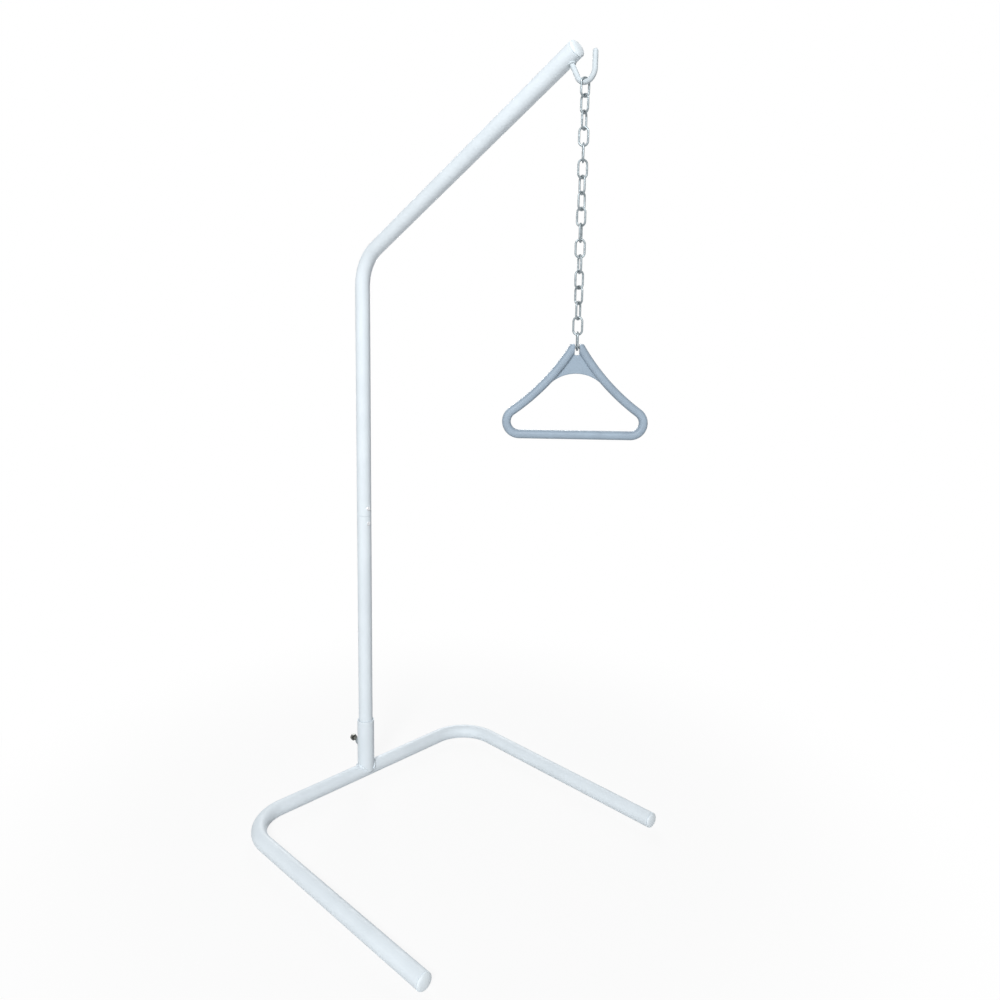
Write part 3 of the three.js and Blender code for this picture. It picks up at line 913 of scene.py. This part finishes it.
def add_rivets():
    """Blind rivets: a low round head with a dimple, and the shank and tail inside the tube."""
    seat = TUBE / 2 - RIVET_SINK
    inside = TUBE / 2 - 2 * WALL - TAIL_CLEARANCE
    rings = dome(RIVET_HEAD / 2, seat + RIVET_RIM, RIVET_DOME)
    rise = [ring for ring in rings if ring[0] > DIMPLE_MOUTH]
    crown = rise[-1][1]
    profile = [
        (TAIL_TIP_RADIUS, inside - TAIL_TIP),
        (RIVET_SHANK / 2 + TAIL_WIDTH, inside - TAIL_LENGTH),
        (RIVET_SHANK / 2 + TAIL_WIDTH, inside),
        (RIVET_SHANK / 2, inside),
        (RIVET_SHANK / 2, seat),
        (RIVET_HEAD / 2 - RIVET_ROUND, seat),
        *rise,
        (DIMPLE_WALL, crown - DIMPLE_EDGE),
        (DIMPLE_FLOOR, crown - DIMPLE_DEPTH),
    ]
    for side, word in ((-1, "lower"), (1, "upper")):
        place = Z * (SEAM + side * RIVET_SPACING / 2)
        rivet = moved(turned(f"rivet_{word}", profile, RIVET_SIDES), place, X)
        dressed(rivet, "zinc_plate", "mast", f"spigot_rivet_{word}", look="bright_rivet")


def add_hook():
    """A round rod bent into a hook that opens upwards, with a rounded tip."""
    radius = ROD / 2
    upright = HOOK_TIP - radius
    steps = [(HOOK_SHANK, -(ARM_TILT + math.pi / 2), HOOK_RADIUS), (upright, 0, 0)]
    hook = bent("hook_rod", hook_root, arm_under, Y, steps, ROD, ROD_SIDES)
    tip = rod_bottom + Vector((HOOK_RADIUS, 0, HOOK_RADIUS + HOOK_TIP - radius))
    with editing(hook):
        pick(hook, lambda place: abs(place.z - tip.z) < NEAR_RING and place.x > tip.x - ROD)
        raise_rings(dome(radius, 0, radius, TIP_RINGS), tip)
        bpy.ops.mesh.edge_face_add()
        pick(hook, lambda place: abs((place - hook_root).dot(arm_under)) < NEAR_RING)
        bpy.ops.mesh.edge_face_add()
    face_out(hook)
    # The hook's darker copy of the coat is painted shade
    dressed(hook, "powder_coat", "mast", "hook", look="hook_coat_painted_shade")


def arm_fall(along):
    """Height of the arm's surface under it, 0 at its lowest line and less than 0 beside that."""
    radius = TUBE / 2
    return math.sqrt(radius**2 - along.y**2) - radius


def add_hook_weld():
    """A rippled bead round the hook's root, which follows the round of the arm."""
    weld = weld_ring("hook_bead", ROD / 2, arm_fall, **HOOK_WELD)
    base = arm_corner + arm_along * (ARM_LENGTH - HOOK_SETBACK) + arm_under * (TUBE / 2)
    turn = Matrix((-arm_along, Y, arm_under)).transposed().to_4x4()
    weld.data.transform(Matrix.Translation(base) @ turn)
    face_out(weld)
    # The weld takes the hook's darker copy of the coat, which is painted shade
    dressed(weld, "powder_coat", "mast", "hook_weld", look="hook_coat_painted_shade", smooth=SMOOTH_WELD)


# Chain


def link_blank():
    """A round wire ring drawn apart at its middle, with the upset of its butt weld on one leg."""
    bow = (LINK_WIDTH - WIRE) / 2
    leg = (LINK_PITCH + GAP) / 2 - bow + WIRE / 2
    link = wire_ring("link_blank", bow, WIRE / 2, LINK_STEPS, WIRE_SIDES, math.pi / LINK_STEPS)
    with editing(link):
        for side in (-1, 1):
            pick(link, lambda place: place.y * side > 0)
            bpy.ops.transform.translate(value=(0, side * leg, 0))
    with editing(link, "EDGE"):
        bpy.ops.object.mode_set(mode="OBJECT")
        places = [vertex.co for vertex in link.data.vertices]
        for edge in link.data.edges:
            a, b = (places[k] for k in edge.vertices)
            edge.select = a.y * b.y < 0
        bpy.ops.object.mode_set(mode="EDIT")
        bpy.ops.mesh.subdivide(number_cuts=LINK_CUTS)
    for vertex in link.data.vertices:
        if vertex.co.x > 0 and abs(vertex.co.y) < UPSET_REACH:
            across = Vector((vertex.co.x - bow, 0, vertex.co.z))
            swell = UPSET_DEPTH * math.cos(vertex.co.y / UPSET_REACH * math.pi / 2)
            vertex.co += across * swell
    face_out(link)
    # Upright, with its normal along X
    upright = Matrix.Rotation(math.pi / 2, 4, "Z") @ Matrix.Rotation(math.pi / 2, 4, "X")
    link.data.transform(upright)
    return link


def link_height(index):
    """The height of a link's middle. The first link's index is 0."""
    return rod_bottom.z + ROD / 2 + GAP - (LINK_PITCH + GAP) / 2 - index * LINK_PITCH


def link_turn(index):
    """How far a link is turned about Z."""
    return FIRST_TURN + index * (math.pi / 2 + LINK_TURN)


def add_chain():
    blank = link_blank()
    for index in range(LINKS):
        number = f"{index + 1:02d}"
        link = blank.copy()
        link.data = blank.data.copy()
        link.name = link.data.name = f"chain_{number}"
        bpy.context.scene.collection.objects.link(link)
        place = Vector((rod_bottom.x, 0, link_height(index)))
        # The upsets alternate between the two sides of the chain.
        flip = math.pi if index % 2 else 0
        turn = Matrix.Rotation(link_turn(index) + flip, 4, "Z")
        link.data.transform(Matrix.Translation(place) @ turn)
        dressed(link, "zinc_plate", f"link_{number}", f"chain_link_{number}", smooth=SMOOTH_ROUND)
    bpy.data.objects.remove(blank)


# Handle, made in its own frame


def side_centre():
    """The centre of a side's hollow curve, through the apex and touching the corner's arc."""
    reach = SIDE_RADIUS + CORNER
    between = corner_centre - apex
    span = between.length
    along = (SIDE_RADIUS**2 - reach**2 + span**2) / (2 * span)
    off = math.sqrt(SIDE_RADIUS**2 - along**2)
    between.normalize()
    return apex + between * along + between.cross(Y) * off


def side_loop(name):
    """Half of the loop, from just past the middle of the grip round the corner and up one side."""
    centre = side_centre()
    touch = corner_centre.lerp(centre, CORNER / (CORNER + SIDE_RADIUS))
    corner_turn = (touch - corner_centre).angle(-Z)
    side_turn = (touch - centre).angle(apex - centre)
    start = Vector((-GRIP_OVERLAP, 0, corner_centre.z - CORNER))
    loop = disc(name, 1, BAR_SIDES)
    for vertex in loop.data.vertices:
        reach = [math.copysign(abs(c) ** BAR_SQUARENESS, c) for c in vertex.co[:2]]
        vertex.co = start + Vector((0, reach[0] * BAR_DEPTH / 2, reach[1] * BAR / 2))
    steps = [
        (corner_centre.x - start.x, -corner_turn, CORNER, BAR_STEPS),
        (0, side_turn, SIDE_RADIUS, BAR_STEPS),
        (EAR_RISE + BAR, 0, 0, 0),
    ]
    with editing(loop, "FACE"):
        sweep(start, X, Y, steps)
    return face_out(loop)


def web_plate():
    """The thin plate under the notch, with an arched lower edge."""
    slope = (corner_centre - apex).normalized()
    spread = (WEB_FOOT + APEX_RISE) * slope.x / -slope.z
    corners = ((0, APEX_RISE), (-spread, -WEB_FOOT), (spread, -WEB_FOOT))
    plate = disc("web", 1, len(corners))
    for vertex, (x, z) in zip(plate.data.vertices, corners):
        vertex.co = (x, -WEB / 2, z)
    with editing(plate, "FACE"):
        push(Y * WEB)
    face_out(plate)
    centre = Z * (-WEB_DROP - WEB_ARCH)
    through = Y * BAR_DEPTH
    arch = rod("arch", 2 * WEB_ARCH, centre - through, centre + through, ARCH_SIDES)
    return combined(plate, "DIFFERENCE", arch)


def place_in_chain(piece):
    """Moves a piece of the handle from its own frame to its place under the last link."""
    last = LINKS - 1
    seat = link_height(last) - (LINK_PITCH + GAP) / 2 + GAP + PIN / 2
    turn = Matrix.Rotation(link_turn(last), 4, "Z")
    piece.data.transform(Matrix.Translation((rod_bottom.x, 0, seat)) @ turn)


def add_handle():
    """Two sides and a web in one, with a notch between two ears, moulded smooth and bored."""
    handle = side_loop("grip")
    left = side_loop("left")
    left.data.transform(Matrix.Rotation(math.pi, 4, "Z"))
    combined(handle, "UNION", left, web_plate())
    wide = HANDLE_WIDTH
    above = block("above", Vector((-wide, -wide, EAR_RISE)), Vector((wide, wide, wide)))
    notch_low = Vector((-NOTCH / 2, -BAR_DEPTH, -NOTCH_DEPTH))
    notch = block("notch", notch_low, Vector((NOTCH / 2, BAR_DEPTH, wide)))
    bore = rod("bore", PIN + 2 * GAP, X * -BORE_REACH, X * BORE_REACH, ROD_SIDES)
    combined(handle, "DIFFERENCE", above, notch)
    modified(handle, "REMESH", mode="VOXEL", voxel_size=MOULD_GRAIN, use_smooth_shade=True)
    modified(handle, "SMOOTH", factor=MOULD_SMOOTHING, iterations=MOULD_PASSES)
    combined(handle, "DIFFERENCE", bore)
    place_in_chain(handle)
    dressed(handle, "handle_plastic", "handle", "handle", smooth=SMOOTH_ROUND)


def add_handle_pin():
    pin = rod("pin", PIN, X * -PIN_LENGTH / 2, X * PIN_LENGTH / 2, ROD_SIDES)
    bevelled(pin, PIN_EDGE)
    place_in_chain(pin)
    dressed(pin, "zinc_plate", "handle", "handle_pin")


# The scene

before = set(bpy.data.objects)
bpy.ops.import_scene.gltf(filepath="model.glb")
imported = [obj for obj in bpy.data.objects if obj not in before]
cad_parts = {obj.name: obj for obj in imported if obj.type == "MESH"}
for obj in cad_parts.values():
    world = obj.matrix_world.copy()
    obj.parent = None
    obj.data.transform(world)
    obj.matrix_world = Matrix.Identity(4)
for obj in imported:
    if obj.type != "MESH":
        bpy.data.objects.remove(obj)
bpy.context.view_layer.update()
add_camera()
bpy.context.scene.view_settings.view_transform = "Standard"
add_surroundings()
add_lamps()
add_floor()

finishes = {name: finish(name, **look) for name, look in FINISHES.items()}

add_base_frame()
add_caps()
add_socket()
add_socket_welds()
add_clamp_nut()
add_clamp_screw()
add_mast()
add_rivets()
add_hook()
add_hook_weld()
add_chain()
add_handle()
add_handle_pin()
